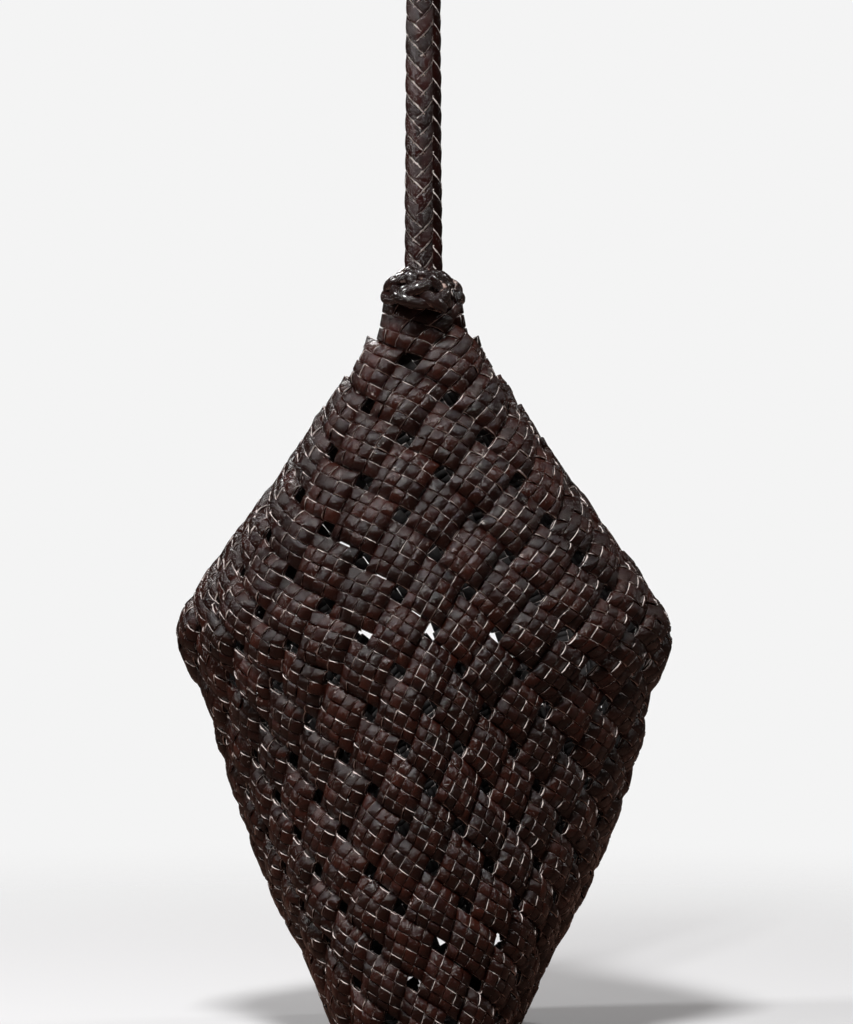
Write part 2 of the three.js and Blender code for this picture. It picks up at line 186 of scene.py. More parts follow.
def slipped(steps, row):
    """The slipped place of a grid point: waves round the bag times powers of the depth, held at the rims
    below the peaks and at the fold."""
    turn = np.pi * steps / SIDE_STEPS
    depth = (row - SLIP_MIDDLE) / SLIP_SPAN
    waves = [np.ones_like(turn), np.cos(turn), np.sin(turn), np.sin(2 * turn), np.cos(2 * turn)]
    reach = np.abs(steps) / np.clip(row, 0.5, ROWS)
    held = np.clip(reach, 0, 1) ** np.clip(row, 1.5, 6)
    free = np.where(row < 10.5, 1 - held * np.clip((10.5 - row) / 1.5, 0, 1), 1)
    free = free * np.clip((FOLD_ROW - row) / 3, 0, 1)
    slip = [sum(w * sum(t * depth ** k for k, t in enumerate(line)) for w, line in zip(waves, table))
            for table in (SLIP_STEPS, SLIP_ROWS)]
    # Near the peak the rims slip down too, stop closing in, and are drawn in only inside the knot:
    # the rim lies at the cube root of the row cubed and a constant, times a smooth step in the knot
    moved_row = row + np.maximum(free, np.clip((3.5 - row) / 2, 0, 1)) * slip[1]
    low = np.clip(moved_row, 0, ROWS)
    neck = np.clip(low / NECK_ROWS, 0, 1)
    rim = (low ** 3 + RIM_ROUND) ** (1 / 3) * (0.5 + 0.5 * neck ** 2 * (3 - 2 * neck))
    over = np.abs(steps) - low
    spread = np.where(over < 0, steps * rim / np.maximum(low, 0.001), np.sign(steps) * (rim + over))
    free = np.maximum(free, np.clip(1.6 - row, 0, 1))
    return np.where(row < 5, spread, steps) + free * slip[0], moved_row


def base_point(x, y):
    """A point of the base: rings of a rectangle of steps, first rounded under from the fold, then flat."""
    half_x, half_y = BASE_HALF
    from_side, from_end = half_x - np.abs(x), half_y - np.abs(y)
    inward = np.clip(np.minimum(from_side, from_end), 0, half_x)
    out_x = x * half_x / np.maximum(half_x - inward, 1e-6)
    out_y = y * half_y / np.maximum(half_y - inward, 1e-6)
    along = from_side < from_end
    at_end = np.where(y < 0, out_x, HALF_ROUND - out_x)
    steps = np.where(along, np.sign(x) * (SIDE_STEPS + out_y), at_end)
    fold_height = BODY_HEIGHT - ROW_RISE * (FOLD_ROW - TOP_ROWS)
    height = fold_height * np.clip(1 - inward / BASE_ROUND, 0, 1) ** BASE_POWER
    point = side_point(steps, height)
    flat = inward > BASE_ROUND
    point[..., 0] *= np.where(flat, (half_x - inward) / (half_x - BASE_ROUND), 1)
    point[..., 1] *= np.where(flat, (half_y - inward) / (half_y - BASE_ROUND), 1)
    return point


def skin_point(steps, row, face, turned):
    """The skin at a grid point. Below the fold row it goes on over the base, from the face it hangs on:
    0 front, 1 right, 2 back and 3 left. A turned block belongs to the back panel."""
    moved, low = slipped(steps, row)
    wall = side_point(moved, BODY_HEIGHT - ROW_RISE * (np.minimum(low, FOLD_ROW) - TOP_ROWS))
    under = np.maximum(row - FOLD_ROW, 0)
    wide, deep = BASE_HALF
    x = np.choose(face, [steps, wide - under, HALF_ROUND - steps, under - wide])
    y = np.choose(face, [under - deep, steps - SIDE_STEPS, deep - under, -SIDE_STEPS - steps])
    point = np.where((row > FOLD_ROW)[..., None], base_point(x, y), wall)
    flip = np.where(turned, -1, 1)[..., None]
    return point * np.concatenate([flip, flip, flip ** 2], -1)


def skin_frame(steps, row, face, turned):
    """The skin's point and its outward direction, as the cross product of small moves down and
    along the grid."""
    move = 0.03
    point = skin_point(steps, row, face, turned)
    along = skin_point(steps + move, row, face, turned) - skin_point(steps - move, row, face, turned)
    down = skin_point(steps, row + move, face, turned) - skin_point(steps, row - move, face, turned)
    out = np.cross(down, along)
    size = np.linalg.norm(out, axis=-1, keepdims=True)
    out = np.where(size > 1e-4, out / np.maximum(size, 1e-9), np.array([0, 0, -1.0]))
    return point, out


# Meshes
def tube_faces(count, rings, sides):
    """Faces of closed tubes: quads from ring to ring, and a flat end on the first and the last ring."""
    index = np.arange(count * rings * sides).reshape(count, rings, sides)
    following = np.roll(index, -1, axis=2)
    walls = np.stack([index[:, :-1], following[:, :-1], following[:, 1:], index[:, 1:]], -1)
    return [walls.reshape(-1, 4), index[:, 0, ::-1].reshape(-1, sides), index[:, -1].reshape(-1, sides)]


def make_piece(name, points, faces, material, node, values):
    """A smooth mesh from points in millimetres above the base, set in metres below the hang point. Each
    point gets the values tone (shade of dye), edge (raw edge) and flesh (flesh side), from 0 to 1.
    No point goes under the floor."""
    mesh = bpy.data.meshes.new(name)
    above_floor = 0.05
    points = points.reshape(-1, 3).copy()
    points[:, 2] = np.maximum(points[:, 2], above_floor) - HANG_HEIGHT
    mesh.vertices.add(len(points))
    mesh.vertices.foreach_set("co", (points / 1000).astype(np.float32).ravel())
    loops = np.concatenate([f.ravel() for f in faces])
    sizes = np.concatenate([np.full(len(f), f.shape[1]) for f in faces])
    starts = np.concatenate([[0], np.cumsum(sizes)[:-1]])
    mesh.loops.add(len(loops))
    mesh.loops.foreach_set("vertex_index", loops.astype(np.int32))
    mesh.polygons.add(len(sizes))
    mesh.polygons.foreach_set("loop_start", starts.astype(np.int32))
    mesh.polygons.foreach_set("use_smooth", np.ones(len(sizes), bool))
    mesh.update(calc_edges=True)
    for key, value in values.items():
        layer = mesh.attributes.new(key, "FLOAT", "POINT")
        layer.data.foreach_set("value", np.broadcast_to(value, points.shape[:1]).astype(np.float32))
    mesh.materials.append(material)
    piece = bpy.data.objects.new(name, mesh)
    bpy.context.scene.collection.objects.link(piece)
    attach(piece, "root")
    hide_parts(node)


# Materials
def linear(colour):
    """An sRGB hex colour as linear red, green, blue and alpha."""
    parts = [int(colour[k:k + 2], 16) / 255 for k in (1, 3, 5)]
    return [p / 12.92 if p <= 0.04045 else ((p + 0.055) / 1.055) ** 2.4 for p in parts] + [1]


def add(tree, kind, settings=None, links=None):
    """Adds a node, sets its properties or input values by name or number, and links outputs to
    its inputs."""
    node = tree.nodes.new(kind)
    for key, value in (settings or {}).items():
        if isinstance(key, str) and hasattr(node, key):
            setattr(node, key, value)
        else:
            node.inputs[key].default_value = value
    for key, source in (links or {}).items():
        tree.links.new(source, node.inputs[key])
    return node


def strip_leather(name, shades, raw, gloss, coat):
    """Vegetable-tanned cowhide, cut in strips, dyed through in espresso brown and waxed.
    To the eye: deep brown with a gloss on every raised cell, redder or greyer from strip to strip, and a
    thin pale raw line along the cut edges, rubbed brown again here and there.
    shades are the dye from dark to light, raw the cut edge, gloss the roughness where it shines most,
    and coat the weight of a burnished wax coat."""
    material = bpy.data.materials.new(name)
    material.use_nodes = True
    tree = material.node_tree
    tree.nodes.clear()
    where = add(tree, "ShaderNodeTexCoord").outputs["Object"]
    tone = add(tree, "ShaderNodeAttribute", {"attribute_name": "tone"}).outputs["Fac"]
    edge = add(tree, "ShaderNodeAttribute", {"attribute_name": "edge"}).outputs["Fac"]
    # Dye takes unevenly over 20 mm patches, and each strip has its own shade
    patches = add(tree, "ShaderNodeTexNoise", {"Scale": 50, "Detail": 8, "Roughness": 0.75},
                  {"Vector": where})
    shade = add(tree, "ShaderNodeMath", {"operation": "MULTIPLY_ADD", 1: 0.4},
                {0: tone, 2: patches.outputs["Fac"]})
    dyed = add(tree, "ShaderNodeValToRGB", links={"Fac": shade.outputs[0]})
    ramp = dyed.color_ramp
    ramp.elements.new(0.75)
    for element, place, colour in zip(ramp.elements, (0.42, 0.68, 0.94), shades):
        element.position = place
        element.color = linear(colour)
    # The flesh side, seen through the gaps and the mouth, is matt, and its colour is painted shade: nearly
    # black, darker than any dye, so that the gaps and the mouth look deep in shadow
    flesh = add(tree, "ShaderNodeAttribute", {"attribute_name": "flesh"}).outputs["Fac"]
    flesh_and_shade_mask = add(tree, "ShaderNodeMapRange", {"From Min": 0.05, "From Max": 0.3}, {"Value": flesh})
    # The raw edge shows where the attribute is high, broken up every 4.5 mm, as rubbed edges are
    rubbed = add(tree, "ShaderNodeTexNoise", {"Scale": 220, "Detail": 4, "Roughness": 0.65},
                 {"Vector": where})
    worn_in = add(tree, "ShaderNodeMath", {"operation": "MULTIPLY_ADD", 1: 2.2, 2: -1.3},
                  {0: rubbed.outputs["Fac"]})
    raw_edge = add(tree, "ShaderNodeMath", {"operation": "ADD"}, {0: edge, 1: worn_in.outputs[0]})
    raw_mask = add(tree, "ShaderNodeMapRange", {"From Min": 0.2, "From Max": 0.5},
                   {"Value": raw_edge.outputs[0]})
    # A colour mix takes its share at input 0 and its two colours at inputs 6 and 7
    colour = add(tree, "ShaderNodeMix", {"data_type": "RGBA", 7: linear(raw)},
                 {0: raw_mask.outputs["Result"], 6: dyed.outputs["Color"]})
    # The near black mixed in here is painted shade on the flesh side, not a dye of the leather
    faced = add(tree, "ShaderNodeMix", {"data_type": "RGBA", 7: linear("#090404")},
                {0: flesh_and_shade_mask.outputs["Result"], 6: colour.outputs[2]})
    # Pores 1.25 mm apart, drawn about five times as coarse as on real hide so that they show, over
    # shallow creases every 2.4 mm. The gloss is a little duller between the creases.
    pores = add(tree, "ShaderNodeTexVoronoi", {"Scale": 800, "Randomness": 1}, {"Vector": where})
    creases = add(tree, "ShaderNodeTexNoise",
                  {"Scale": 420, "Detail": 8, "Roughness": 0.72, "Distortion": 1.5}, {"Vector": where})
    pore_bump = add(tree, "ShaderNodeBump", {"Strength": 0.3, "Distance": 0.0002},
                    {"Height": pores.outputs["Distance"]})
    crease_bump = add(tree, "ShaderNodeBump", {"Strength": 0.8, "Distance": 0.0007},
                      {"Height": creases.outputs["Fac"], "Normal": pore_bump.outputs["Normal"]})
    polish = add(tree, "ShaderNodeMapRange", {"From Min": 0.3, "From Max": 0.75, "To Min": gloss,
                                              "To Max": gloss + 0.15}, {"Value": creases.outputs["Fac"]})
    # The raw edge and the flesh side are much rougher than the waxed face
    rough = add(tree, "ShaderNodeMath", {"operation": "MULTIPLY_ADD", 1: 0.35},
                {0: raw_mask.outputs["Result"], 2: polish.outputs["Result"]})
    matt = add(tree, "ShaderNodeMath", {"operation": "MULTIPLY_ADD", 1: 0.5},
               {0: flesh_and_shade_mask.outputs["Result"], 2: rough.outputs[0]})
    surface = add(tree, "ShaderNodeBsdfPrincipled",
                  {"IOR": 1.44, "Coat Weight": coat, "Coat Roughness": 0.12},
                  {"Base Color": faced.outputs[2], "Roughness": matt.outputs[0],
                   "Normal": crease_bump.outputs["Normal"]})
    add(tree, "ShaderNodeOutputMaterial", links={"Surface": surface.outputs["BSDF"]})
    return material


# The body is waxed by hand: warm brown, with bright spots of gloss and pale edges
BODY_LEATHER = strip_leather("waxed_espresso_strip_leather", ("#0e0403", "#200b07", "#3a1911"),
                             "#eee0da", 0.06, 0.0)
# The strap is darkened by hands, so that its pale edges stand out as a herringbone of thin lines
STRAP_LEATHER = strip_leather("handled_espresso_braid_leather", ("#0b0201", "#1b0504", "#2c0d09"),
                              "#f4ece6", 0.08, 0.0)
# The knots are burnished, nearly black with a hard shine, and their edges are dyed over
KNOT_LEATHER = strip_leather("burnished_espresso_knot_leather", ("#0a0302", "#160706", "#26100c"),
                             "#b8a096", 0.08, 0.8)


# The weave. A block is 4 by 4 cells. Four blocks meet round a gap of one cell, so the block grid is
# turned by 14 degrees: a cell's x and y in its block become steps and rows, 17 cells to a grid square.
CELLS = 4
GRID_AREA = CELLS ** 2 + 1
CELL_SIZE = 5.97
# In millimetres: a block's swell with its power, its strips' rise and dip, and how deep the weave's
# middle lies under the skin
PILLOW, PILLOW_POWER = 3.2, 4.4
WAVE = 0.62
MID_DEPTH = 3.6
# A strip's outline: place across in cells, height in millimetres, share of raw edge, share of flesh side
STRIP_OUTLINE = np.array([
    (0.487, -0.05, 1, 0), (0.455, 0.36, 0.45, 0), (0.40, 0.48, 0, 0), (-0.40, 0.48, 0, 0),
    (-0.455, 0.36, 0.45, 0), (-0.487, -0.05, 1, 0), (-0.40, -0.42, 0, 1), (0.40, -0.42, 0, 1)])
# The four gaps round a block, in cells, how far each pushes the strips away, and its reach
GAP_PLACES = np.array([(0.5, -0.5), (4.5, 0.5), (3.5, 4.5), (-0.5, 3.5)])
GAP_OPENING, GAP_REACH = (0.18, 0.05), 0.95
# How unevenly the strips are cut and pulled: share of width, millimetres of height and of lean a cell,
# then a whole block's tilt in millimetres a cell, its turn in degrees and its place in cells
UNEVEN_WIDTH, UNEVEN_HEIGHT, UNEVEN_LEAN = 0.03, 0.12, 0.35
UNEVEN_TILT, UNEVEN_TURN, UNEVEN_PLACE = 0.22, 2.2, 0.05


def uneven(amount, shape, least=-1.5, most=1.5):
    """Hand work's unevenness: an amount times draws from a bell curve with its tails cut off."""
    return amount * chance.standard_normal(shape).clip(least, most)


def block_list():
    """Each block's middle step and row, its turned mark and its face: panels, sack, fold and base."""
    blocks = []
    for row in range(1, ROWS + 1):
        for steps in range(1 - row, row, 2):
            blocks += [(steps, row, 0, 0), (steps, row, 1, 0)]
    for row in range(ROWS + 1, FOLD_ROW + 1):
        for steps in range(-HALF_ROUND, HALF_ROUND):
            if (steps + row) % 2:
                blocks.append((steps, row, 0, 0))
    for row in range(FOLD_ROW + 1, FOLD_ROW + 2 * BASE_HALF[1]):
        for steps in ((-1, 1) if row % 2 == 0 else (-2, 0, 2)):
            blocks.append((steps, row, 0, 0))
    table = np.array(blocks)
    steps = table[:, 0]
    side = np.abs(steps)
    face = np.select([side <= BASE_HALF[0], side >= HALF_ROUND - BASE_HALF[0], steps > 0], [0, 2, 1], 3)
    table[:, 3] = np.where(table[:, 1] > FOLD_ROW, 0, face)
    return table


def drawn_back(x, y):
    """Strips bow away from each gap's middle by a bell curve of the distance, so that the gap opens."""
    moved_x, moved_y = x, y
    for gap_x, gap_y in GAP_PLACES:
        away_x, away_y = x - gap_x, y - gap_y
        distance = np.hypot(away_x, away_y) + 1e-6
        push = np.exp(-(distance / GAP_REACH) ** 2) / distance
        moved_x = moved_x + GAP_OPENING[0] * push * away_x
        moved_y = moved_y + GAP_OPENING[1] * push * away_y
    return moved_x, moved_y


def to_grid(blocks, x, y):
    """Steps and rows of the cell coordinates x, y in each block, by the turn of the block grid."""
    x, y = drawn_back(x, y)
    p, q = x - CELLS / 2, y - CELLS / 2
    i = (CELLS * p + q) / GRID_AREA
    j = (CELLS * q - p) / GRID_AREA
    shape = (-1,) + (1,) * (x.ndim - 1)
    return blocks[:, 0].reshape(shape) + i - j, blocks[:, 1].reshape(shape) + i + j


def lay(blocks, x, y, height):
    """Points at block coordinates x, y, lifted along the skin's outward direction."""
    shape = (-1,) + (1,) * (x.ndim - 1)
    steps, row = to_grid(blocks, x, y)
    turned = np.broadcast_to(blocks[:, 2].reshape(shape), steps.shape) > 0
    face = np.broadcast_to(blocks[:, 3].reshape(shape), steps.shape)
    point, out = skin_frame(steps, row, face, turned)
    return point + out * (height - MID_DEPTH)[..., None]


def pillow(x, y):
    """A block's swell: full in the middle, nothing at its sides, falling on past them."""
    return PILLOW * (1 - np.abs(x / 2 - 1) ** PILLOW_POWER) * (1 - np.abs(y / 2 - 1) ** PILLOW_POWER)


def weave_strips(blocks):
    """The strip lengths that lie on top in each cell: flat over their own cell, on the block's swell, then
    a smooth step down under the next cell, where the strip's next length meets them, or into the groove.
    t runs along a length from its cell's middle, in cells."""
    r, c = [a.ravel() for a in np.meshgrid(np.arange(CELLS), np.arange(CELLS), indexing="ij")]
    along_row = (r + c) % 2 == 0
    # How far a length reaches back and on, by its cell's place in the block, the least into a groove
    place = np.where(along_row, c, r)
    reach_back = np.choose(place, [0.66, 1.5, 1.0, 1.0])
    reach_on = np.choose(place, [1.0, 1.0, 1.5, 0.66])
    each_block = (len(blocks), 1, 1, 1)
    each_strip = (len(blocks), CELLS ** 2, 1, 1)
    inner = np.tile([-0.6, -0.49, -0.38, 0, 0.38, 0.49, 0.6], (CELLS ** 2, 1))
    t = np.hstack([-reach_back[:, None], inner, reach_on[:, None]])[None, :, :, None]
    across = STRIP_OUTLINE[:, 0] * (1 + uneven(UNEVEN_WIDTH, each_strip, most=1))
    rise = STRIP_OUTLINE[:, 1] + uneven(UNEVEN_HEIGHT, each_strip)
    lean = uneven(UNEVEN_LEAN, each_strip)
    row_wise = along_row[None, :, None, None]
    middle_x, middle_y = c[None, :, None, None] + 0.5, r[None, :, None, None] + 0.5
    x = np.where(row_wise, middle_x + t, middle_x + across)
    y = np.where(row_wise, middle_y - across, middle_y + t)
    # The strip lies level for 0.35 of a cell to each side and goes under within the next 0.25
    dive = np.clip((np.abs(t) - 0.35) / 0.25, 0, 1)
    wave = 1 - 2 * dive ** 2 * (3 - 2 * dive)
    tilt = uneven(UNEVEN_TILT, (2,) + each_block)
    height = pillow(x, y) + WAVE * wave + rise + lean * across
    from_middle_x, from_middle_y = x - CELLS / 2, y - CELLS / 2
    height = height + tilt[0] * from_middle_x + tilt[1] * from_middle_y
    # Each block is tilted, and sits a little turned and off its place
    turn = uneven(np.radians(UNEVEN_TURN), each_block, -1.6, 1.6)
    off = uneven(UNEVEN_PLACE, (2,) + each_block, -1.6, 1.6)
    x, y = x - turn * from_middle_y + off[0], y + turn * from_middle_x + off[1]
    # The dye differs from strip to strip and a little from block to block
    tone = chance.random(each_strip) * 0.7 + chance.random(each_block) * 0.3
    edge = STRIP_OUTLINE[:, 2] * (0.5 + 0.5 * chance.random(each_strip))
    marks = [np.broadcast_to(mark, x.shape) for mark in (tone, edge, STRIP_OUTLINE[:, 3])]
    return lay(blocks, x, y, height), *marks


def rim_folds(blocks, top_edge):
    """Strips folded over the mouth's rim: a half round path over the edge, with a leg outside and a leg
    inside. The path goes in from the rim and up from the skin, in millimetres."""
    each_strip = (len(blocks), CELLS, 1, 1)
    angle = np.radians([0, 35, 70, 105, 140, 180])
    bend = 1.5
    path_in = np.concatenate([[5.2, 2.6], 1.2 - bend * np.sin(angle), [2.6, 5.0]])
    path_up = np.concatenate([[0.1, 1.1], bend * np.cos(angle) - 0.3, [-1.7, -1.3]])
    step_in, step_up = np.gradient(path_in), np.gradient(path_up)
    size = np.hypot(step_in, step_up)
    normal_in, normal_up = -step_up / size, step_in / size
    # The folded strips are a quarter thicker and a little narrower than the woven ones
    swell = STRIP_OUTLINE[:, 1] * 1.25
    lump = uneven(0.25, each_strip, -1.2, 1.2)
    depth = (path_in[:, None] - normal_in[:, None] * swell + lump) / CELL_SIZE
    height = path_up[:, None] - normal_up[:, None] * swell + lump * 0.5
    across = np.arange(CELLS)[None, :, None, None] + 0.5 + STRIP_OUTLINE[:, 0] * 0.97
    across = np.broadcast_to(across, depth.shape)
    if not top_edge:
        across = CELLS - across
    x, y = (across, depth) if top_edge else (depth, across)
    tone = chance.random(each_strip) * 0.7
    edge = STRIP_OUTLINE[:, 2] * 0.8
    marks = [np.broadcast_to(mark, x.shape) for mark in (tone, edge, STRIP_OUTLINE[:, 3])]
    return lay(blocks, x, y, height), *marks


def woven_piece(name, made):
    """One mesh from several sets of strips: each is an array of blocks, strips, rings and outline points,
    with its tone, raw edge and flesh values."""
    points, faces, values, start = [], [], [], 0
    for point, *marks in made:
        rings, sides = point.shape[-3], point.shape[-2]
        count = point.size // (3 * rings * sides)
        faces += [f + start for f in tube_faces(count, rings, sides)]
        points.append(point.reshape(-1, 3))
        values.append([mark.ravel() for mark in marks])
        start += count * rings * sides
    tone, edge, flesh = [np.concatenate(column) for column in zip(*values)]
    make_piece(name, np.concatenate(points), faces, BODY_LEATHER, "woven_body",
               {"tone": tone, "edge": edge, "flesh": flesh})


def weave_bag():
    """The body in pieces by region: two panels with the folds of their rims, four sides and the base."""
    all_blocks = block_list()
    steps, row, turned, _ = all_blocks.T
    panel = row <= ROWS
    for mark, name in enumerate(("weave_front_panel", "weave_back_panel")):
        blocks = all_blocks[panel & (turned == mark)]
        right = blocks[blocks[:, 0] == blocks[:, 1] - 1]
        left = blocks[blocks[:, 0] == 1 - blocks[:, 1]]
        woven_piece(name, [weave_strips(blocks), rim_folds(right, True), rim_folds(left, False)])
    sack = ~panel & (row <= FOLD_ROW)
    from_ridge, near = np.abs(steps), SIDE_STEPS / 2
    quarter = np.select([from_ridge < near, from_ridge > HALF_ROUND - near, steps > 0], [0, 2, 1], 3)
    for k, name in enumerate(("weave_front", "weave_right", "weave_back", "weave_left")):
        woven_piece(name, [weave_strips(all_blocks[sack & (quarter == k)])])
    woven_piece("weave_base", [weave_strips(all_blocks[row > FOLD_ROW])])


weave_bag()


# The strap: a braid laid on a round core. Its outer and inner sides show arms that meet in a V.
# How far apart the tiles lie along the strap, and how far each climbs
BRAID_PITCH = 8.6
BRAID_RISE = 9.8
# A tile's outline: place along the strap in pitches, height in millimetres, share of raw edge.
# The outline's far edge tucks under the next tile up, and its near edge lies bare over the tile below.
TILE_OUTLINE = np.array([(0.6, -0.35, 0), (0.42, 0.22, 0), (0.2, 0.42, 0), (-0.1, 0.46, 0),
                         (-0.34, 0.38, 0), (-0.45, 0.26, 0.6), (-0.53, -0.08, 1), (-0.46, -0.5, 0.6)])


def strap_route():
    """The top bend's height, the straight runs' lean and length, and the bend's length: each run leaves
    its knot and touches a top bend of one radius."""
    bend_height = HANG_HEIGHT + STRAP_DIAMETER / 2 - STRAP_BEND_RADIUS
    rise = bend_height - STRAP_FOOT
    reach = math.hypot(KNOT_SPREAD, rise)
    lean = math.acos(STRAP_BEND_RADIUS / reach) - math.atan2(rise, KNOT_SPREAD)
    straight = math.sqrt(reach ** 2 - STRAP_BEND_RADIUS ** 2)
    return bend_height, lean, straight, STRAP_BEND_RADIUS * (math.pi - 2 * lean)


BEND_HEIGHT, STRAP_LEAN, STRAP_STRAIGHT, STRAP_BEND = strap_route()
STRAP_LENGTH = 2 * STRAP_STRAIGHT + STRAP_BEND


def strap_point(s, around, radius):
    """A point on the strap: s along it from the front knot, an angle round it from its outer side and a
    radius. The middle line leans in evenly, then follows a circle over the top."""
    from_end = np.minimum(s, STRAP_LENGTH - s)
    side = np.where(s < STRAP_LENGTH / 2, -1, 1)
    straight = from_end < STRAP_STRAIGHT
    angle = np.where(straight, STRAP_LEAN, STRAP_LEAN + (from_end - STRAP_STRAIGHT) / STRAP_BEND_RADIUS)
    y = np.where(straight, KNOT_SPREAD - from_end * math.sin(STRAP_LEAN),
                 STRAP_BEND_RADIUS * np.cos(angle))
    z = np.where(straight, STRAP_FOOT + from_end * math.cos(STRAP_LEAN),
                 BEND_HEIGHT + STRAP_BEND_RADIUS * np.sin(angle))
    out = radius * np.cos(around)
    return np.stack([radius * np.sin(around), side * (y + out * np.cos(angle)),
                     z + out * np.sin(angle)], -1)


def strap_radius(s):
    """The braid is 12.9 mm thick at the knots and thins evenly to 12 mm at 130 mm along."""
    from_end = np.minimum(s, STRAP_LENGTH - s)
    return 6.45 - 0.45 * np.clip(from_end / 130, 0, 1)


def braid_strap():
    """Tiles in four quarters round the core: each climbs evenly from a V line to a side line, while its
    height swells and falls by powers of its length u, so that both ends are tucked."""
    rows = int(STRAP_LENGTH / BRAID_PITCH)
    pitch = STRAP_LENGTH / rows
    quarter = np.arange(4)[:, None, None, None]
    start = (np.arange(-1, rows + 1)[None, :, None, None] + np.where(quarter < 2, 0.5, 0)) * pitch
    u = np.array([-0.32, -0.2, -0.05, 0.22, 0.5, 0.75, 0.98, 1.12])[None, None, :, None]
    start_angle, sweep = np.choose(quarter, [0, 180, 180, 360]), np.choose(quarter, [90, -90, 90, -90])
    around = np.radians(start_angle + sweep * u)
    across = TILE_OUTLINE[:, 0]
    s = start + BRAID_RISE * u + across * pitch * 0.98
    swell = np.clip((u + 0.32) / 0.16, 0, 1) ** 0.7 * np.clip((1.2 - u) / 0.4, 0, 1) ** 0.5
    each_tile = (4, rows + 2, 1, 1)
    radius = (strap_radius(s) - 1.25 + 0.75 * swell + TILE_OUTLINE[:, 1] * 1.1 - 0.7 * across
              + uneven(0.1, each_tile))
    # Tiles past either end are squeezed into the last millimetres, inside the knots
    s = np.clip(s, -3, STRAP_LENGTH + 3)
    point = strap_point(s, around + 0 * s, radius)
    # Every second quarter is a mirror image, so its outlines run the other way round
    flip = np.broadcast_to(quarter % 2 == 1, s.shape)
    point = np.where(flip[..., None], point[..., ::-1, :], point)
    edge = np.where(flip, TILE_OUTLINE[::-1, 2], TILE_OUTLINE[:, 2])
    tone = np.broadcast_to(chance.random(each_tile), s.shape)
    points = point.reshape(-1, 3)
    faces = tube_faces(4 * (rows + 2), u.shape[2], len(TILE_OUTLINE))
    # The core
    rings, sides = 90, 12
    core_s = np.linspace(0, STRAP_LENGTH, rings)[:, None]
    core_angle = -np.linspace(0, 2 * np.pi, sides, endpoint=False)[None, :]
    core = strap_point(core_s + 0 * core_angle, core_angle + 0 * core_s, strap_radius(core_s) - 1.7)
    faces += [f + len(points) for f in tube_faces(1, rings, sides)]
    points = np.concatenate([points, core.reshape(-1, 3)])
    tone = np.concatenate([tone.ravel(), np.zeros(rings * sides)])
    edge = np.concatenate([edge.ravel(), np.zeros(rings * sides)])
    make_piece("braided_strap", points, faces, STRAP_LEATHER, "strap",
               {"tone": tone, "edge": edge, "flesh": 0 * edge})


braid_strap()


# The knots: a strip wound four times round in a woven turban over the peak and the strap's end
KNOT_LEADS, KNOT_BIGHTS = 4, 5
KNOT_MIDDLE, KNOT_HALF_HEIGHT, KNOT_LEAN = 341.4, 6.8, 10
# The strip's outline, in shares of its half width and of its thickness, and its share of raw edge
KNOT_LINE = np.array([(0.92, -0.5, 0), (1, 0, 1), (0.95, 0.42, 0.7), (0.72, 0.8, 0), (0.25, 1, 0),
                      (-0.25, 1, 0), (-0.72, 0.8, 0), (-0.95, 0.42, 0.7), (-1, 0, 1), (-0.92, -0.5, 0)])
KNOT_HALF_WIDTH, KNOT_THICKNESS = 2.9, 1.7


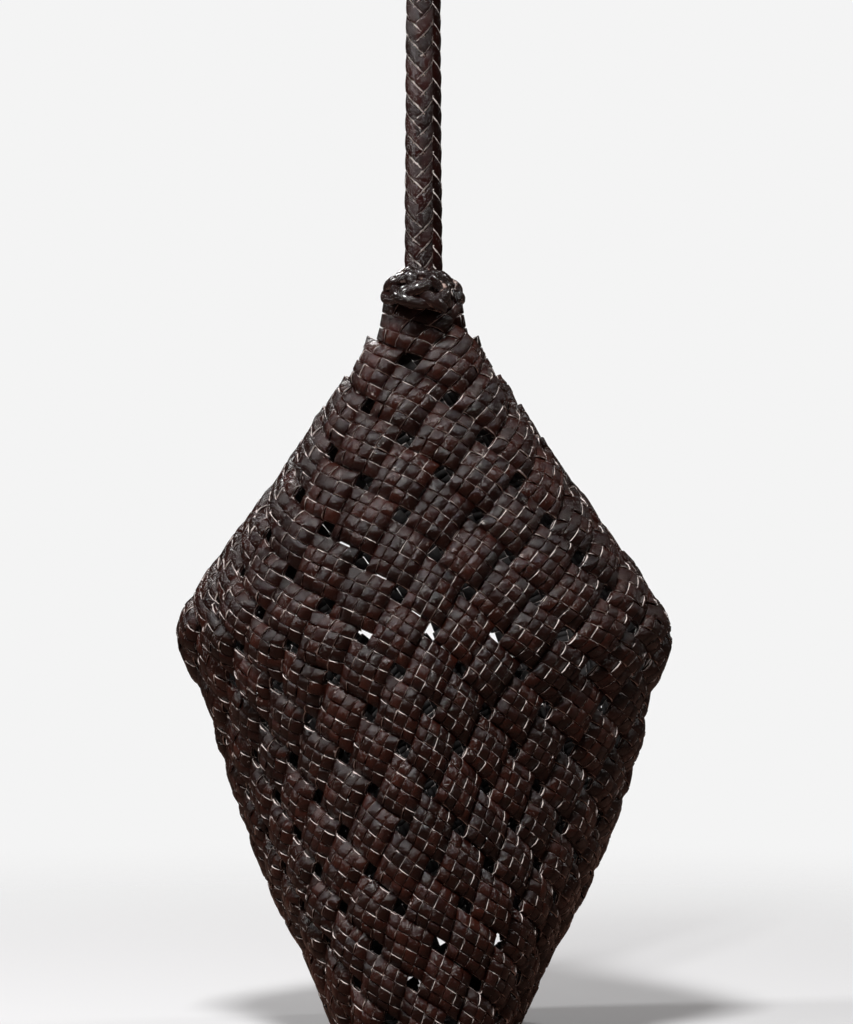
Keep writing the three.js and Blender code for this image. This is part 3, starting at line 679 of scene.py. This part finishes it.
def wind_knot(name, node, facing):
    """A strip on a cone: its height goes as cos(5/4 a) over four turns a, sin(15/4 a) lifts it at
    crossings, and the cone's width and depth are curves of the second power of that height.
    facing is -1 in front and 1 at the back."""
    rings, sides = 260, len(KNOT_LINE)
    a = np.linspace(0, 2 * np.pi * KNOT_LEADS, rings, endpoint=False)
    w = a * KNOT_BIGHTS / KNOT_LEADS
    rise = np.cos(w)
    lift = 1.1 * np.sin((KNOT_LEADS - 1) * w)
    wide = 12.3 - 3.9 * rise - 3.0 * rise ** 2 + lift
    deep = 11.0 - 2.0 * rise - 0.8 * rise ** 2 + lift
    cone = np.stack([np.sin(a) * wide, -np.cos(a) * deep, rise * KNOT_HALF_HEIGHT], -1)
    tangent = np.roll(cone, -1, 0) - np.roll(cone, 1, 0)
    tangent /= np.linalg.norm(tangent, axis=1, keepdims=True)
    out = np.stack([np.sin(a) / wide, -np.cos(a) / deep, 0.03 + 0.02 * rise], -1)
    out -= tangent * (out * tangent).sum(1, keepdims=True)
    out /= np.linalg.norm(out, axis=1, keepdims=True)
    across = np.cross(out, tangent)
    # The strip is bent over a little across its width
    bent = KNOT_LINE[:, 1:2] * KNOT_THICKNESS - 0.5 * KNOT_LINE[:, :1] ** 2
    strip = cone[:, None, :] + across[:, None, :] * KNOT_LINE[:, :1] * KNOT_HALF_WIDTH
    strip = (strip + out[:, None, :] * bent).reshape(-1, 3)
    index = np.arange(rings * sides).reshape(rings, sides)
    after = np.roll(index, -1, 0)
    faces = [np.stack([index, np.roll(index, -1, 1), np.roll(after, -1, 1), after], -1).reshape(-1, 4)]
    tone = np.repeat(0.45 + 0.35 * np.sin(3 * a), sides)
    edge = np.tile(KNOT_LINE[:, 2], rings) * 0.55
    # A cone shaped heart fills the knot's middle, rounded at both ends
    levels, sides, half_height = 13, 24, 9
    level = np.linspace(-1, 1, levels)[:, None]
    turn = -np.linspace(0, 2 * np.pi, sides, endpoint=False)[None, :]
    cap = np.sqrt(1 - level ** 6 * 0.98)
    heart = np.stack([cap * np.sin(turn) * (10.6 - 3.4 * level - 2.4 * level ** 2),
                      -cap * np.cos(turn) * (9.8 - 2.4 * level - 1.0 * level ** 2),
                      level * half_height + 0 * turn], -1)
    faces += [f + len(strip) for f in tube_faces(1, levels, sides)]
    points = np.concatenate([strip, heart.reshape(-1, 3)])
    # The heart takes the darkest dye: painted shade where it shows between the strands
    tone = np.concatenate([tone, np.full(levels * sides, 0.1)])
    edge = np.concatenate([edge, np.zeros(levels * sides)])
    # The knot leans to one side and faces outwards
    cosine, sine = math.cos(math.radians(KNOT_LEAN)), math.sin(math.radians(KNOT_LEAN))
    points = points @ np.array([(cosine, 0, -sine), (0, 1, 0), (sine, 0, cosine)])
    points = points * np.array([-facing, -facing, 1]) + np.array([0, facing * KNOT_SPREAD, KNOT_MIDDLE])
    make_piece(name, points, faces, KNOT_LEATHER, node,
               {"tone": tone, "edge": edge, "flesh": 0 * edge})


wind_knot("wound_knot_front", "knot_front", -1)
wind_knot("wound_knot_back", "knot_back", 1)


# The studio
def lay_floor():
    """A sheet of matt studio paper: nearly white and without gloss, it fades into the surround from 0.3 m
    to 1 m away from the bag."""
    material = bpy.data.materials.new("matt_paper_floor")
    material.use_nodes = True
    tree = material.node_tree
    tree.nodes.clear()
    where = add(tree, "ShaderNodeTexCoord").outputs["Object"]
    reach = add(tree, "ShaderNodeVectorMath", {"operation": "LENGTH"}, {0: where})
    fade = add(tree, "ShaderNodeMapRange",
               {"From Min": 0.3, "From Max": 1.0, "interpolation_type": "SMOOTHSTEP"},
               {"Value": reach.outputs["Value"]})
    matt = add(tree, "ShaderNodeBsdfDiffuse", {"Color": linear("#d0d0d1")})
    glow = add(tree, "ShaderNodeEmission", {"Color": linear("#ffffff"), "Strength": 0.06})
    paper = add(tree, "ShaderNodeAddShader", links={0: matt.outputs[0], 1: glow.outputs[0]})
    # The leather has brown cloths round it and not bright paper, so that its gloss stays warm and deep
    cloth = add(tree, "ShaderNodeBsdfDiffuse", {"Color": linear("#6c5349")})
    straight = add(tree, "ShaderNodeLightPath").outputs["Is Camera Ray"]
    ground = add(tree, "ShaderNodeMixShader",
                 links={0: straight, 1: cloth.outputs[0], 2: paper.outputs[0]})
    clear = add(tree, "ShaderNodeBsdfTransparent")
    mixed = add(tree, "ShaderNodeMixShader",
                links={0: fade.outputs["Result"], 1: ground.outputs[0], 2: clear.outputs[0]})
    add(tree, "ShaderNodeOutputMaterial", links={"Surface": mixed.outputs[0]})
    mesh = bpy.data.meshes.new("floor")
    half = 1.5
    corners = [(-half, -half, 0), (half, -half, 0), (half, half, 0), (-half, half, 0)]
    mesh.from_pydata(corners, [], [(0, 1, 2, 3)])
    mesh.materials.append(material)
    floor = bpy.data.objects.new("floor", mesh)
    floor.location = (0, 0, -HANG_HEIGHT / 1000)
    bpy.context.scene.collection.objects.link(floor)


def surround_and_lights():
    """A pale surround that lights the leather only weakly, a soft key light high in front, and weaker
    soft lights from the left, the right and the back, so that the leather shines all round."""
    world = bpy.data.worlds.new("pale_surround")
    world.use_nodes = True
    tree = world.node_tree
    tree.nodes.clear()
    backdrop = add(tree, "ShaderNodeBackground", {"Color": linear("#f4f4f4"), "Strength": 1})
    warm_fill = add(tree, "ShaderNodeBackground", {"Color": linear("#f0cfc0"), "Strength": 0.06})
    straight = add(tree, "ShaderNodeLightPath").outputs["Is Camera Ray"]
    both = add(tree, "ShaderNodeMixShader",
               links={0: straight, 1: warm_fill.outputs[0], 2: backdrop.outputs[0]})
    add(tree, "ShaderNodeOutputWorld", links={"Surface": both.outputs[0]})
    bpy.context.scene.world = world

    # Each light's name, place and size in metres and power in watts, aimed at the belly's middle
    middle = Vector((0, 0, -0.46))
    for name, place, size, power in (("high_key", (-0.2, -1.1, 1.2), 0.3, 42),
                                     ("left_softbox", (-1.5, -0.3, 0.8), 0.3, 15),
                                     ("back_softbox", (-0.5, 1.6, 0.9), 0.4, 14),
                                     ("right_softbox", (1.7, 0.6, 0.7), 0.3, 7)):
        light = bpy.data.lights.new(name, "AREA")
        light.size = size
        light.energy = power
        lamp = bpy.data.objects.new(name, light)
        lamp.location = place
        lamp.rotation_euler = (middle - Vector(place)).to_track_quat("-Z", "Y").to_euler()
        bpy.context.scene.collection.objects.link(lamp)


lay_floor()
surround_and_lights()
bpy.context.scene.view_settings.view_transform = "Standard"
